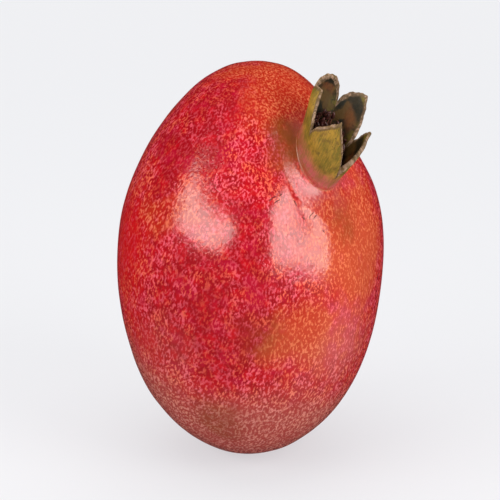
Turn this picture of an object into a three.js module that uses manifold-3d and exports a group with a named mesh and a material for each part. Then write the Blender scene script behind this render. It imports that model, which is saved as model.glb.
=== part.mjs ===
// A pomegranate as picked, lying on a small flat spot with its crown leaning to the front right.
//
// Millimetres, +Z up, +X to the right and +Y away from the viewer. The origin is the middle of the
// flat spot. The fruit is worked out round, in a frame of its own whose +Z runs from the stem end to
// the crown, and place() then leans it over and presses it to its real width and depth.

import * as THREE from "three";
import { ParametricGeometry } from "three/addons/geometries/ParametricGeometry.js";
import { mergeVertices } from "three/addons/utils/BufferGeometryUtils.js";
import Module from "manifold-3d";

// Body
const WIDTH = 76;
const DEPTH = 92;
const HEIGHT = 114.5;
const NARROW_TOP = 0.12; // share of its width that the top loses
const FULL_BOTTOM = 0.03; // share of its width that the bottom gains
const SKEW = 0.012; // shift to the right for each millimetre of height
const FLAT_DEPTH = 1.1; // how much of the round bottom the flat spot takes away
const LEAN = THREE.MathUtils.degToRad(50); // crown axis, from upright
const TURN = THREE.MathUtils.degToRad(-48); // the way it leans, from +X towards +Y

// Low ridges that run down from the crown, and the hollow round the stem
const RIDGES = 5;
const RIDGE_HEIGHT = 0.9;
const RIDGE_FROM_CROWN = THREE.MathUtils.degToRad(40);
const RIDGE_REACH = THREE.MathUtils.degToRad(24);
const HOLLOW_DEPTH = 2.2;
const HOLLOW_RADIUS = 8;

// Crown: a short tube that opens into sepals. Distances along its wall start at the waist.
const NECK_ANGLE = THREE.MathUtils.degToRad(18);
const WAIST_RADIUS = 10.6;
const WAIST_RISE = 0.8;
const NECK_PULL = 0.07;
const NECK_TIGHTNESS = 0.03;
const FLARE_LENGTH = 10;
const FLARE = [5, 20].map(THREE.MathUtils.degToRad); // wall slope at the waist and past the flare
const BEND = 0.3; // sideways shift for each millimetre of height
const BEND_TOWARDS = THREE.MathUtils.degToRad(116);
const WALL = 2.4;
const TIP_WALL = 1.1;
const SIDE_THINNING = 0.15; // share of its thickness that a sepal loses at its sides
const CUP_DEPTH = 2.6;
const SEPAL_POINT = 0.62; // 1 gives straight-sided points, less gives rounder ones

// Sepals in order round the crown: the one in front on the right, the wide open one behind it, the
// one at the back, the one on the left, and the broad one in front. spread is the share of the
// circle, notch the wall length at the notch before the sepal, tip the wall length at its tip, lean
// the further outward bend at the tip, and twist the tip's turn round the crown. Angles in degrees.
const FIRST_NOTCH = -12;
const SEPALS = [
  { spread: 80, notch: 5, tip: 20, lean: -20, twist: 18 },
  { spread: 63, notch: 5, tip: 20, lean: 30, twist: -2 },
  { spread: 77, notch: 10, tip: 18.5, lean: -34, twist: -6 },
  { spread: 57, notch: 13.5, tip: 20.5, lean: -58, twist: -6 },
  { spread: 83, notch: 10.5, tip: 25, lean: -32, twist: -2 },
];

// Dried stamens in rings, and the style between them, on a dry cushion in the cup. root and tip are
// distances from the middle, and height is the mean one, which differs by STAMEN_SPREAD either way.
const STAMEN_RINGS = [
  { count: 15, root: 5.8, tip: 7.4, height: 9.5 },
  { count: 9, root: 3.6, tip: 5.0, height: 11.5 },
  { count: 4, root: 1.6, tip: 2.4, height: 10 },
];
const STAMEN_SPREAD = 0.18;
const STAMEN_SWING = 0.25; // radians either way round the crown
const FILAMENT_RADIUS = 0.5;
const ANTHER = { width: 1.6, length: 2.2 };
const CUSHION = { radius: 7.3, thickness: 4.4, sides: 20, rows: 8 };
const STYLE = { foot: 0.9, top: 0.65, height: 12, sides: 6 };

// Cut stem: radius and distance from its foot, which is flared
const STEM_PROFILE = [
  [3.4, 0],
  [2.7, 1.6],
  [2.6, 4.1],
  [3.0, 5.5],
];
const STEM_DISH = 0.3; // depth of the dished cut end

const GAP = 0.35; // between pieces that touch

// Mesh
const COLUMNS_PER_SEPAL = 12;
const COLUMNS = COLUMNS_PER_SEPAL * SEPALS.length;
const ROWS = { body: 24, neck: 4, wall: 8, lining: 7, floor: 3 };
const ALL_ROWS = Object.values(ROWS).reduce((sum, rows) => sum + rows, 0);
const FILAMENT_SIDES = 3;
const FILAMENT_STEPS = 3;
const STEM_SIDES = 14;

const RADIUS = HEIGHT / 2;
const WAIST_HEIGHT = RADIUS + WAIST_RISE;
const wasm = await Module();
wasm.setup();

// A point at a distance from the fruit's axis, an angle round it and a height.
function around(radius, angle, height) {
  return new THREE.Vector3(radius * Math.cos(angle), radius * Math.sin(angle), height);
}

// A repeatable stream of numbers from 0 to 1.
function randomStream(seed) {
  let state = seed;
  return () => {
    state = (state * 16807) % 2147483647;
    return state / 2147483647;
  };
}

const bendTowards = around(1, BEND_TOWARDS, 0);

// From the round fruit's own frame to leaning and pressed, with its middle still at the origin.
const lean = new THREE.Matrix4()
  .makeScale(WIDTH / HEIGHT, DEPTH / HEIGHT, 1)
  .multiply(new THREE.Matrix4().makeRotationZ(TURN))
  .multiply(new THREE.Matrix4().makeRotationY(LEAN));

// Takes a point of the round fruit to where it is on the real one: the crown bent, the fruit
// leaned, narrower on top, fuller below and a little askew.
function place(point) {
  const above = Math.max(point.z - RADIUS, 0);
  point.addScaledVector(bendTowards, BEND * above).applyMatrix4(lean);
  const level = THREE.MathUtils.clamp(point.z / RADIUS, -1, 1);
  const amount = level > 0 ? NARROW_TOP : FULL_BOTTOM;
  const width = 1 - amount * Math.sin((level * Math.PI) / 2) ** 3;
  return point.set(point.x * width + SKEW * point.z, point.y * width, point.z);
}

// What the crown is like at share u of the way round: the sepal there, how far across it u lies
// (-1 to 1), the angle, and the wall lengths where the sepal starts and where it ends.
function crownAt(u) {
  const index = Math.min(Math.floor(u * SEPALS.length), SEPALS.length - 1);
  const share = u * SEPALS.length - index;
  const sepal = SEPALS[index];
  const next = SEPALS[(index + 1) % SEPALS.length];
  const before = SEPALS.slice(0, index).reduce((sum, s) => sum + s.spread, 0);
  const across = 2 * share - 1;
  const base = THREE.MathUtils.lerp(sepal.notch, next.notch, share);
  const outline = Math.pow(1 - Math.abs(across), SEPAL_POINT);
  return {
    sepal,
    across,
    base,
    rim: THREE.MathUtils.lerp(base, sepal.tip, outline),
    angle: THREE.MathUtils.degToRad(FIRST_NOTCH + before + share * sepal.spread),
  };
}

// Radius, height and slope of the crown's outer wall at a length along it from the waist, and how
// far up the sepal that is.
function wallAt(along, { sepal, base }) {
  const inFlare = Math.min(along, FLARE_LENGTH);
  const slope = THREE.MathUtils.lerp(FLARE[0], FLARE[1], inFlare / FLARE_LENGTH);
  const mean = (FLARE[0] + slope) / 2;
  const upSepal = Math.max(along - base, 0) / (sepal.tip - base);
  const bend = THREE.MathUtils.degToRad(sepal.lean) * upSepal;
  const bent = Math.max(along - base, 0);
  const straight = along - inFlare - bent;
  const steps = [
    [inFlare, mean],
    [straight, slope],
    [bent, slope + bend / 2],
  ];
  return {
    radius: WAIST_RADIUS + steps.reduce((sum, [length, tilt]) => sum + length * Math.sin(tilt), 0),
    height: WAIST_HEIGHT + steps.reduce((sum, [length, tilt]) => sum + length * Math.cos(tilt), 0),
    slope: slope + bend,
    upSepal,
  };
}

// Wall thickness, thinner towards the sepals' tips and their sides.
function thicknessAt(along, { sepal, across }) {
  const middle = THREE.MathUtils.lerp(WALL, TIP_WALL, along / sepal.tip);
  return middle * (1 - SIDE_THINNING * across * across);
}

const neckStart = new THREE.Vector2(
  RADIUS * Math.sin(NECK_ANGLE),
  RADIUS * Math.cos(NECK_ANGLE),
);
const neck = new THREE.CubicBezierCurve(
  neckStart,
  new THREE.Vector2(-Math.cos(NECK_ANGLE), Math.sin(NECK_ANGLE))
    .multiplyScalar(NECK_PULL * RADIUS)
    .add(neckStart),
  new THREE.Vector2(WAIST_RADIUS, WAIST_HEIGHT - NECK_TIGHTNESS * RADIUS),
  new THREE.Vector2(WAIST_RADIUS, WAIST_HEIGHT),
);

// Depth of the hollow round the stem at a distance from the axis.
function hollowAt(radius) {
  return HOLLOW_DEPTH * Math.exp(-((radius / HOLLOW_RADIUS) ** 2));
}

// Radius and height on the body, share 0 at the stem end and 1 where the neck starts.
function bodyAt(share, angle) {
  const fromStem = share * (Math.PI - NECK_ANGLE);
  const radius = RADIUS * Math.sin(fromStem);
  const height = -RADIUS * Math.cos(fromStem);
  const fromCrown = Math.PI - fromStem;
  const ridge =
    RIDGE_HEIGHT *
    Math.cos(RIDGES * angle) *
    Math.exp(-(((fromCrown - RIDGE_FROM_CROWN) / RIDGE_REACH) ** 2));
  const hollow = height < 0 ? hollowAt(radius) : 0;
  const scale = 1 + (ridge - hollow) / RADIUS;
  return { radius: radius * scale, height: height * scale };
}

// The lining, set in from the outer wall by its thickness.
function liningAt(along, crown) {
  const outer = wallAt(along, crown);
  const thick = thicknessAt(along, crown);
  return {
    radius: outer.radius - thick * Math.cos(outer.slope),
    height: outer.height + thick * Math.sin(outer.slope),
    upSepal: outer.upSepal,
  };
}

// Radius and height of the closed skin in one row: up the body, the neck and the crown's wall, over
// the sepals' edges, and down the lining to the middle of the cup.
function profileAt(row, crown) {
  if (row <= ROWS.body) return bodyAt(row / ROWS.body, crown.angle);
  row -= ROWS.body;
  if (row <= ROWS.neck) {
    const onNeck = neck.getPoint(row / ROWS.neck);
    return { radius: onNeck.x, height: onNeck.y };
  }
  row -= ROWS.neck;
  if (row <= ROWS.wall) return wallAt((crown.rim * row) / ROWS.wall, crown);
  row -= ROWS.wall + 1;
  if (row < ROWS.lining) return liningAt(crown.rim * (1 - row / (ROWS.lining - 1)), crown);
  row -= ROWS.lining - 1;
  const turn = ((row / ROWS.floor) * Math.PI) / 2;
  return {
    radius: (WAIST_RADIUS - WALL) * Math.cos(turn),
    height: WAIST_HEIGHT - CUP_DEPTH * Math.sin(turn),
  };
}

function skinPoint(u, v, target) {
  const crown = crownAt(u % 1);
  const { radius, height, upSepal = 0 } = profileAt(Math.round(v * ALL_ROWS), crown);
  const angle = crown.angle + THREE.MathUtils.degToRad(crown.sepal.twist) * upSepal * upSepal;
  place(target.copy(around(radius, angle, height)));
}

// A closed three.js geometry as a solid. Faces that collapsed at a pole are left out.
function toSolid(geometry) {
  const bare = geometry.index ? geometry.toNonIndexed() : geometry.clone();
  for (const name of Object.keys(bare.attributes)) {
    if (name !== "position") bare.deleteAttribute(name);
  }
  const merged = mergeVertices(bare, 1e-4);
  const corners = merged.index.array;
  const kept = [];
  for (let i = 0; i < corners.length; i += 3) {
    const [a, b, c] = corners.slice(i, i + 3);
    if (a !== b && b !== c && a !== c) kept.push(a, b, c);
  }
  return new wasm.Manifold(
    new wasm.Mesh({
      numProp: 3,
      vertProperties: merged.attributes.position.array,
      triVerts: Uint32Array.from(kept),
    }),
  );
}

function toGeometry(solid) {
  const { vertProperties, triVerts, numProp, numVert } = solid.getMesh();
  const positions = new Float32Array(numVert * 3);
  for (let i = 0; i < numVert; i++) {
    positions.set(vertProperties.subarray(i * numProp, i * numProp + 3), i * 3);
  }
  const geometry = new THREE.BufferGeometry();
  geometry.setAttribute("position", new THREE.BufferAttribute(positions, 3));
  geometry.setIndex(new THREE.BufferAttribute(triVerts, 1));
  geometry.computeVertexNormals();
  return geometry;
}

const skin = new ParametricGeometry(skinPoint, COLUMNS, ALL_ROWS);
skin.computeBoundingBox();
const rise = -skin.boundingBox.min.z - FLAT_DEPTH;
const settle = new THREE.Matrix4().makeTranslation(SKEW * RADIUS, 0, rise);

// The fruit in one piece, with its flat spot cut at Z = 0.
function makeFruit() {
  const ground = new THREE.BoxGeometry(2 * WIDTH, 2 * DEPTH, HEIGHT);
  ground.translate(0, 0, -HEIGHT / 2);
  return toSolid(skin.clone().applyMatrix4(settle)).subtract(toSolid(ground));
}

// A thin rod along a curve, with few flat sides.
function rod(curve, radius) {
  const section = new THREE.Shape();
  for (let i = 0; i < FILAMENT_SIDES; i++) {
    const turn = (i / FILAMENT_SIDES) * 2 * Math.PI;
    section.lineTo(radius * Math.cos(turn), radius * Math.sin(turn));
  }
  section.closePath();
  return new THREE.ExtrudeGeometry(section, {
    steps: FILAMENT_STEPS,
    extrudePath: curve,
    bevelEnabled: false,
  });
}

// Stamens and style on the dry cushion at the bottom of the cup, joined into one body.
function makeStamens() {
  const random = randomStream(20811);
  const seat = WAIST_HEIGHT - CUP_DEPTH + GAP;
  const cushion = new THREE.SphereGeometry(1, CUSHION.sides, CUSHION.rows);
  cushion.rotateX(Math.PI / 2);
  cushion.scale(CUSHION.radius, CUSHION.radius, CUSHION.thickness / 2);
  cushion.translate(0, 0, seat + CUSHION.thickness / 2);
  const pieces = [toSolid(cushion)];
  const root = seat + CUSHION.thickness / 2;
  for (const ring of STAMEN_RINGS) {
    for (let i = 0; i < ring.count; i++) {
      const turn = ((i + random() / 2) / ring.count) * 2 * Math.PI;
      const curve = stamenCurve(ring, turn, root, random);
      pieces.push(toSolid(rod(curve, FILAMENT_RADIUS)), toSolid(antherAt(curve.v2)));
    }
  }
  const style = new THREE.CylinderGeometry(STYLE.top, STYLE.foot, STYLE.height, STYLE.sides);
  style.rotateX(Math.PI / 2);
  style.translate(0, 0, root + STYLE.height / 2);
  pieces.push(toSolid(style));
  return wasm.Manifold.union(pieces);
}

// One stamen's line: out from the cushion, then bowed up to its tip.
function stamenCurve(ring, turn, root, random) {
  const spread = () => 2 * random() - 1;
  const height = ring.height * (1 + STAMEN_SPREAD * spread());
  const swing = turn + STAMEN_SWING * spread();
  return new THREE.QuadraticBezierCurve3(
    around(ring.root, turn, root),
    around(ring.tip, turn, root + height / 2),
    around(ring.tip, swing, root + height),
  );
}

function antherAt(point) {
  const anther = new THREE.OctahedronGeometry(0.5);
  anther.scale(ANTHER.width, ANTHER.width, ANTHER.length);
  return anther.translate(point.x, point.y, point.z);
}

// The woody end of the stem, seated in the hollow opposite the crown.
function makeStem() {
  const [footRadius] = STEM_PROFILE[0];
  const [, length] = STEM_PROFILE.at(-1);
  const outline = [[0, 0], ...STEM_PROFILE, [0, length - STEM_DISH]];
  const profile = outline.map(([radius, height]) => new THREE.Vector2(radius, height));
  const stem = new THREE.LatheGeometry(profile, STEM_SIDES);
  stem.rotateX(-Math.PI / 2);
  stem.translate(0, 0, hollowAt(footRadius) - RADIUS - GAP);
  return toSolid(stem);
}

// Places a solid that was made in the round fruit's own frame.
function placed(solid) {
  const geometry = toGeometry(solid);
  const points = geometry.attributes.position;
  const point = new THREE.Vector3();
  for (let i = 0; i < points.count; i++) {
    place(point.fromBufferAttribute(points, i));
    points.setXYZ(i, point.x, point.y, point.z);
  }
  geometry.applyMatrix4(settle);
  geometry.computeVertexNormals();
  return geometry;
}

function named(name, geometry, look) {
  const mesh = new THREE.Mesh(geometry, new THREE.MeshStandardMaterial(look));
  mesh.name = name;
  return mesh;
}

const pomegranate = new THREE.Group();
pomegranate.add(
  named("fruit", toGeometry(makeFruit()), { color: 0xb8202a, roughness: 0.32, metalness: 0 }),
  named("stamens", placed(makeStamens()), { color: 0x4a2c1e, roughness: 0.8, metalness: 0 }),
  named("stem_stub", placed(makeStem()), { color: 0x6b4a30, roughness: 0.85, metalness: 0 }),
);

export default pomegranate;
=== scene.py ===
"""A pomegranate on a pale floor under soft studio light.

The fruit is worked out round, in a frame of its own whose +Z runs from the stem end to the crown. It is
then bent, leaned over and pressed to its real width and depth, as the solids of the frame are. Lengths
are in millimetres until a mesh is made.
"""

import math
import random

import bmesh
import bpy
from bpy.props import FloatProperty, FloatVectorProperty, IntProperty, PointerProperty
from bpy.types import Operator, Panel, PropertyGroup
from mathutils import Matrix, Quaternion, Vector, noise


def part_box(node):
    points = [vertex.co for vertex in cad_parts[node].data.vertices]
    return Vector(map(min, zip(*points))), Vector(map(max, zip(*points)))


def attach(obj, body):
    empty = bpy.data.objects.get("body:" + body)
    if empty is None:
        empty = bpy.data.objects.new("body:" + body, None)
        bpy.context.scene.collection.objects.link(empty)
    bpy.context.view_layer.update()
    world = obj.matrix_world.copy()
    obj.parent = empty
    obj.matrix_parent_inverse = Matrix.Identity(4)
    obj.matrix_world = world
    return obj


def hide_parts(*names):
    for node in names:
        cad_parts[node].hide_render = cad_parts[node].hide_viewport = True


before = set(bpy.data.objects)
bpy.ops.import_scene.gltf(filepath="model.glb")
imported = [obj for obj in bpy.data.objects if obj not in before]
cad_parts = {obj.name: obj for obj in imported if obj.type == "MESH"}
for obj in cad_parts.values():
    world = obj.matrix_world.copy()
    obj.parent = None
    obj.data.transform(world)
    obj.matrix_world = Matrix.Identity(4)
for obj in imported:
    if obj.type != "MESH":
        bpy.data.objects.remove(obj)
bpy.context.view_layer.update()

bl_info = {
    "name": "Pomegranate",
    "version": (1, 0, 0),
    "blender": (4, 5, 0),
    "location": "3D View > Sidebar > Pomegranate",
    "description": "A whole pomegranate with its open crown and dried stamens",
    "category": "Object",
}

MM = 0.001

# Body
WIDTH = 76
DEPTH = 92
HEIGHT = 114.5
RADIUS = HEIGHT / 2
NARROW_TOP = 0.12
FULL_BOTTOM = 0.03
SKEW = 0.012
FLAT_DEPTH = 1.1
LEAN = math.radians(50)
TURN = math.radians(-48)
RIDGES = 5
RIDGE_HEIGHT = 0.9
RIDGE_FROM_CROWN = math.radians(40)
RIDGE_REACH = math.radians(24)
HOLLOW_DEPTH = 2.2
HOLLOW_RADIUS = 8

# Crown. Distances along its wall start at the waist, where it is narrowest.
NECK_ANGLE = math.radians(18)
WAIST_RADIUS = 10.6
WAIST_HEIGHT = RADIUS + 0.8
NECK_PULL = 0.07
NECK_TIGHTNESS = 0.03
FLARE_LENGTH = 10
FLARE = (math.radians(5), math.radians(20))
BEND = 0.3
BEND_TOWARDS = math.radians(116)
WALL = 2.4
TIP_WALL = 1.1
SIDE_THINNING = 0.15
CUP_DEPTH = 2.6
SEPAL_POINT = 0.62
FIRST_NOTCH = math.radians(-12)

# Sepals in order round the crown, angles in degrees. spread is the angle that a sepal takes, notch the
# wall length at the notch before it, tip the wall length at its tip, lean how far it bends outwards by
# its tip, twist how far its tip turns round the crown, and curl how far the very tip curls outwards.
SEPALS = (
    {"spread": 80, "notch": 5, "tip": 20, "lean": -20, "twist": 18, "curl": 25},
    {"spread": 63, "notch": 5, "tip": 20, "lean": 30, "twist": -2, "curl": 15},
    {"spread": 77, "notch": 10, "tip": 18.5, "lean": -34, "twist": -6, "curl": -80},
    {"spread": 57, "notch": 13.5, "tip": 20.5, "lean": -58, "twist": -6, "curl": -10},
    {"spread": 83, "notch": 10.5, "tip": 25, "lean": -32, "twist": -2, "curl": -25},
)
CURL_FROM = 0.6

# How finely the rind is made
BODY_ROWS = 150
NECK_ROWS = 16
WALL_ROWS = 52
EDGE_ROWS = 6
LINING_ROWS = 40
FLOOR_ROWS = 8
COLUMNS_PER_SEPAL = 48
COLUMNS = COLUMNS_PER_SEPAL * len(SEPALS)

# Lumps of the skin and of the sepals: length and share of the height that a user sets
SKIN_LUMPS = ((21, 1.0), (9, 0.28), (4.2, 0.07))
SEPAL_LUMPS = ((3.4, 1.0), (1.4, 0.45))
CALM_NEAR_WAIST = 12
# Wrinkles of the sepals: ribs across one, their share, the lining's share, and where they are full
SEPAL_RIBS = 7
RIB_SHARE = 0.6
LINING_SHARE = 0.5
FULL_WRINKLES = 6
# The groove and the ridge round the waist
COLLAR = ({"at": -1.1, "reach": 0.8, "height": -0.28}, {"at": 0.6, "reach": 0.9, "height": 0.2})
# The sepals' uneven edges: radius and height of a circle through a noise, and the share of each
RIM_WAVES = ((9, 0, 1.0), (25, 4, 0.5))
EDGE_ROUNDNESS = 0.8
SEPALS_FROM = 1

# Scratches in the skin, below the crown and, the last three, on the back: the place in the scene, the
# length and how steep, in degrees
SCARS = (
    (7, -38, 85.5, 2.8, 42), (8.2, -38, 84.6, 2.2, 38), (9.6, -38, 87, 1.3, 45),
    (13.5, -37, 84, 2.2, -62), (17.5, -35, 79.6, 2.6, 44), (18.8, -35, 79.2, 1.7, 40),
    (20.3, -34, 74.6, 1.0, -50), (15, -36, 79, 1.1, -35),
    (-26, 20, 82, 2.4, 20), (14, 40, 70, 2.4, 55), (15.4, 40, 69, 1.6, 50),
)
SCAR_WIDTH = 0.24
SCAR_BOW = 0.08
SCAR_ENDS = 0.02
SCAR_STEPS = 12

# Stamens, in rings from the wall to the middle
STAMEN_RINGS = (
    {"share": 0.46, "root": 5.9, "tip": 7.5, "height": 9.5},
    {"share": 0.34, "root": 4.3, "tip": 5.7, "height": 11.5},
    {"share": 0.20, "root": 2.2, "tip": 3.2, "height": 10.5},
)
# How unlike one another the stamens are: in height, in turn at the tip and the foot, and in reach
STAMEN_SEED = 11
STAMEN_SPREAD = 0.22
STAMEN_SWING = 0.35
STAMEN_UNEVENNESS = 0.3
STAMEN_LEAST_OUT = 0.85
# Threads: thickness at the root and how much less at the tip, as shares of the width
FILAMENT_SIDES = 7
FILAMENT_STEPS = 14
FILAMENT_WAVE = 0.35
FILAMENT_WAVES = 2.5
FILAMENT_ROOT = 1.25
FILAMENT_TAPER = 0.5
# Anthers: bend, width and groove as shares of the length, the last of the width
ANTHER_RINGS = 9
ANTHER_SIDES = 12
ANTHER_LENGTHS = (0.85, 1.1)
ANTHER_BEND = (0.08, 0.22)
ANTHER_WIDTH = 0.42
ANTHER_GROOVE = {"depth": 0.3, "reach": 0.5}
ANTHER_TILT = 0.9
CUSHION_RADIUS = 7.3
CUSHION_THICKNESS = 4.4
CUSHION_GAP = 0.35
CUSHION_ROWS = 14
CUSHION_SIDES = 60
CUSHION_WAVES = 4
CUSHION_WRINKLES = 0.12
# Style: how deep it is sunk in the cushion, and its thickness and the knob at its tip as shares
STYLE_HEIGHT = 12
STYLE_SUNK = 0.5
STYLE_RADIUS = 0.75
STYLE_ROOT = 1.15
STYLE_TAPER = 0.4
STYLE_KNOB = {"height": 0.35, "reach": 0.06}
STYLE_WAVE = 0.4
STYLE_WAVES = 2
STYLE_SEED = (1.3, 4.1)
STYLE_SIDES = 10

# Stem: radius and distance from its foot. The first ring is sunk in the fruit.
STEM_FOOT_RADIUS = 3.4
STEM_PROFILE = (
    (3.9, -0.6), (3.4, 0), (3.0, 0.7), (2.75, 1.5), (2.6, 2.6), (2.55, 3.7), (2.7, 4.6), (2.95, 5.2),
)
STEM_CUT_RINGS = ((2.9, 5.5), (2.5, 5.42), (2.1, 5.5), (1.6, 5.36), (1.1, 5.42), (0.6, 5.22))
STEM_SIDES = 72
GAP = 0.35
# Bark: radius of a circle through a noise, its stretch lengthwise and the share of each, and the
# radius from which the ridges have their full height
BARK_WAVES = ((3.2, 0.25, 1.0), (8, 1, 0.5))
FULL_BARK = 2.4

# Camera and light, seen from the front
VIEW_UP = math.radians(18)
LENS = 300
FRAME_FILL = 0.79
VIEW_MARGIN = 0.004
CAMERA_REACH = 20
FLOOR_RADIUS = 1.6
FLOOR_SEGMENTS = 96
FLOOR_FADE = 1100
FLOOR_SHADE = 0.36
FLOOR_GLOW = 0.68
LIGHT_DISTANCE = 0.62
LIGHT_TONE = (1, 0.98, 0.92)
ROOM_TONE = (0.98, 0.98, 1)
ROOM_TO_LOOK_AT = 0.93
ROOM_IN_SKIN = 0.02
# How far the rind may reach beyond its solid, as a share of the solid's size
SPARE = 0.02


def around(radius, angle, height):
    """A point at a distance from the fruit's axis, an angle round it and a height."""
    return Vector((radius * math.cos(angle), radius * math.sin(angle), height))


def full_turn(count):
    """Angles of a number of even steps once round."""
    return [2 * math.pi * step / count for step in range(count)]


def mix(start, end, share):
    return start + (end - start) * share


def bell(distance, reach):
    return math.exp(-((distance / reach) ** 2))


bend_towards = around(1, BEND_TOWARDS, 0)
lean_over = (
    Matrix.Diagonal((WIDTH / HEIGHT, DEPTH / HEIGHT, 1))
    @ Matrix.Rotation(TURN, 3, "Z")
    @ Matrix.Rotation(LEAN, 3, "Y")
)


def lean(point):
    """Takes a point of the round fruit to where it is on the real one, before it settles."""
    above = max(point.z - RADIUS, 0)
    point = lean_over @ (point + bend_towards * (BEND * above))
    level = max(min(point.z / RADIUS, 1), -1)
    amount = NARROW_TOP if level > 0 else FULL_BOTTOM
    width = 1 - amount * math.sin(level * math.pi / 2) ** 3
    return Vector((point.x * width + SKEW * point.z, point.y * width, point.z))


def hollow_at(radius):
    """Depth of the hollow round the stem at a distance from the axis."""
    return HOLLOW_DEPTH * bell(radius, HOLLOW_RADIUS)


def body_at(share, angle):
    """Radius and height on the body, share 0 at the stem end and 1 where the neck starts."""
    from_stem = share * (math.pi - NECK_ANGLE)
    radius = RADIUS * math.sin(from_stem)
    height = -RADIUS * math.cos(from_stem)
    from_ridge = math.pi - from_stem - RIDGE_FROM_CROWN
    ridge = RIDGE_HEIGHT * math.cos(RIDGES * angle) * bell(from_ridge, RIDGE_REACH)
    hollow = hollow_at(radius) if height < 0 else 0
    scale = 1 + (ridge - hollow) / RADIUS
    return radius * scale, height * scale


NECK_START = Vector((RADIUS * math.sin(NECK_ANGLE), RADIUS * math.cos(NECK_ANGLE)))
NECK_PULLED = NECK_START + Vector((-math.cos(NECK_ANGLE), math.sin(NECK_ANGLE))) * (NECK_PULL * RADIUS)
NECK_TIGHT = Vector((WAIST_RADIUS, WAIST_HEIGHT - NECK_TIGHTNESS * RADIUS))
NECK_END = Vector((WAIST_RADIUS, WAIST_HEIGHT))
NECK_LENGTH = (NECK_PULLED - NECK_START).length + (NECK_END - NECK_PULLED).length


def neck_at(share):
    """Radius and height on the neck, share 0 at the body and 1 at the waist."""
    back = 1 - share
    start = NECK_START * back**3 + NECK_PULLED * (3 * back * back * share)
    return start + NECK_TIGHT * (3 * back * share * share) + NECK_END * share**3


def lowest_skin():
    """The lowest height of the leaned body, before its flat spot is cut."""
    heights = []
    for row in range(BODY_ROWS + 1):
        for column in range(0, COLUMNS, 4):
            angle = 2 * math.pi * column / COLUMNS
            radius, height = body_at(row / BODY_ROWS, angle)
            heights.append(lean(around(radius, angle, height)).z)
    return min(heights)


SETTLE = Vector((SKEW * RADIUS, 0, -lowest_skin() - FLAT_DEPTH))


def place(point):
    """Takes a point of the round fruit to where it is in the scene, no lower than the floor."""
    point = lean(point) + SETTLE
    point.z = max(point.z, 0)
    return point


def lump(point, lumps):
    return sum(share * noise.noise(point / length) for length, share in lumps)


def sepal_column(column, form):
    """What one column of the crown has: its sepal, its angle, where it splits off and where it ends."""
    place_round = column / COLUMNS_PER_SEPAL
    index = int(place_round)
    share = place_round - index
    sepal = SEPALS[index]
    following = SEPALS[(index + 1) % len(SEPALS)]
    before = sum(other["spread"] for other in SEPALS[:index])
    across = 2 * share - 1
    base = mix(sepal["notch"], following["notch"], share)
    outline = (1 - abs(across)) ** SEPAL_POINT
    angle = FIRST_NOTCH + math.radians(before + share * sepal["spread"])
    ragged = sum(part * noise.noise(around(reach, angle, seed)) for reach, seed, part in RIM_WAVES)
    rim = mix(base, sepal["tip"], outline) + ragged * min(outline * 3, 1) * form.rim_raggedness / MM
    return {"sepal": sepal, "angle": angle, "across": across, "base": base, "rim": rim}


def wall_at(along, column):
    """Radius, height and slope of the crown's outer wall, and how far up its sepal that is."""
    sepal = column["sepal"]
    in_flare = min(along, FLARE_LENGTH)
    slope = mix(FLARE[0], FLARE[1], in_flare / FLARE_LENGTH)
    mean = (FLARE[0] + slope) / 2
    bent = max(along - column["base"], 0)
    up_sepal = bent / (sepal["tip"] - column["base"])
    bend = math.radians(sepal["lean"]) * up_sepal
    straight = along - in_flare - bent
    steps = ((in_flare, mean), (straight, slope), (bent, slope + bend / 2))
    radius = WAIST_RADIUS + sum(length * math.sin(tilt) for length, tilt in steps)
    height = WAIST_HEIGHT + sum(length * math.cos(tilt) for length, tilt in steps)
    curled = max(up_sepal - CURL_FROM, 0)
    turned = math.radians(sepal["curl"]) * (curled / (1 - CURL_FROM)) ** 2
    aside = (sepal["tip"] - column["base"]) * curled * math.sin(turned / 3)
    drop = (sepal["tip"] - column["base"]) * curled * (1 - math.cos(turned / 2))
    slope += bend
    radius += aside * math.cos(slope) - drop * math.sin(slope)
    height -= aside * math.sin(slope) + drop * math.cos(slope)
    return radius, height, slope + turned, up_sepal


def thickness_at(along, column):
    """How thick the wall is: thinner up the sepal and towards its sides."""
    middle = mix(WALL, TIP_WALL, along / column["sepal"]["tip"])
    return middle * (1 - SIDE_THINNING * column["across"] ** 2)


def outer_wall(along, column):
    radius, height, slope, up_sepal = wall_at(along, column)
    return radius, height, up_sepal


def rim_edge(turn, column):
    """The rounded edge between the two faces of the wall, turn 0 outside and half a turn inside."""
    radius, height, slope, up_sepal = wall_at(column["rim"], column)
    half = thickness_at(column["rim"], column) / 2
    inwards = half * (1 - math.cos(turn))
    beyond = half * EDGE_ROUNDNESS * math.sin(turn)
    radius += beyond * math.sin(slope) - inwards * math.cos(slope)
    height += beyond * math.cos(slope) + inwards * math.sin(slope)
    return radius, height, up_sepal


def lining(along, column):
    radius, height, slope, up_sepal = wall_at(along, column)
    thick = thickness_at(along, column)
    return radius - thick * math.cos(slope), height + thick * math.sin(slope), up_sepal


def rind_rows():
    """The rows of the rind from the stem end to the middle of the cup: the zone and the share of it."""
    rows = [("body", row / BODY_ROWS) for row in range(1, BODY_ROWS)]
    rows += [("neck", row / NECK_ROWS) for row in range(NECK_ROWS)]
    rows += [("wall", row / WALL_ROWS) for row in range(WALL_ROWS)]
    rows += [("edge", row / EDGE_ROWS) for row in range(EDGE_ROWS)]
    rows += [("lining", row / LINING_ROWS) for row in range(LINING_ROWS)]
    rows += [("floor", row / FLOOR_ROWS) for row in range(FLOOR_ROWS)]
    return rows


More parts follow.
